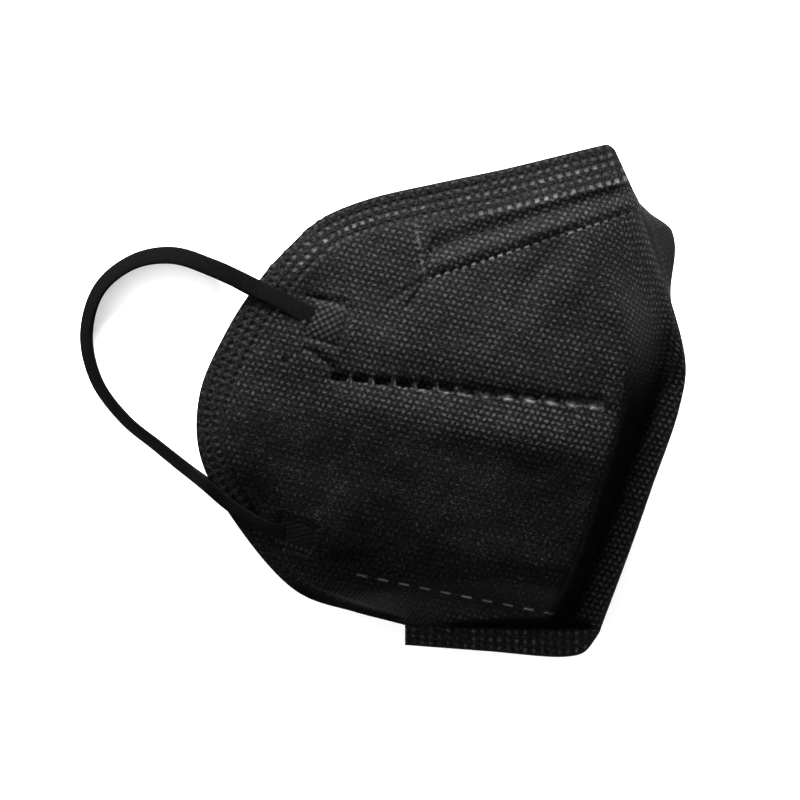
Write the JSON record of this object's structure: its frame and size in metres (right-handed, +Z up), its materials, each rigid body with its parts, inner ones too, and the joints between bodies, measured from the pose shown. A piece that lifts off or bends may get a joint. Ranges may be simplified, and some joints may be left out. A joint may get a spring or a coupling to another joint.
{
  "type": "respirator mask",
  "caption": "Fold-flat respirator mask of black non-woven cloth with a nose wire channel, welded seams and elastic ear loops, opened a little and lying on its side.",
  "frame": {"origin": "middle of the bounding box at the surface that the mask lies on", "axes": "+X towards the front of the mask, +Y towards its nose end, +Z up from the surface to the mask's right half"},
  "size_m": [0.1516, 0.1285, 0.0538],
  "materials": {
    "cloth": "black spunbond non-woven, matte with a faint satin sheen and small lighter bond dots",
    "elastic": "black knitted elastic, matte",
    "weld": "black knurled ultrasonic weld, pressed and slightly glossy"
  },
  "bodies": {
    "root": {"right_panel": "cloth", "left_panel": "cloth", "chin_seam": "cloth", "nose_wire_channel": "cloth", "right_ear_loop": "elastic", "left_ear_loop": "elastic", "right_upper_loop_weld": "weld", "right_lower_loop_weld": "weld", "left_upper_loop_weld": "weld", "left_lower_loop_weld": "weld"}
  },
  "joints": []
}
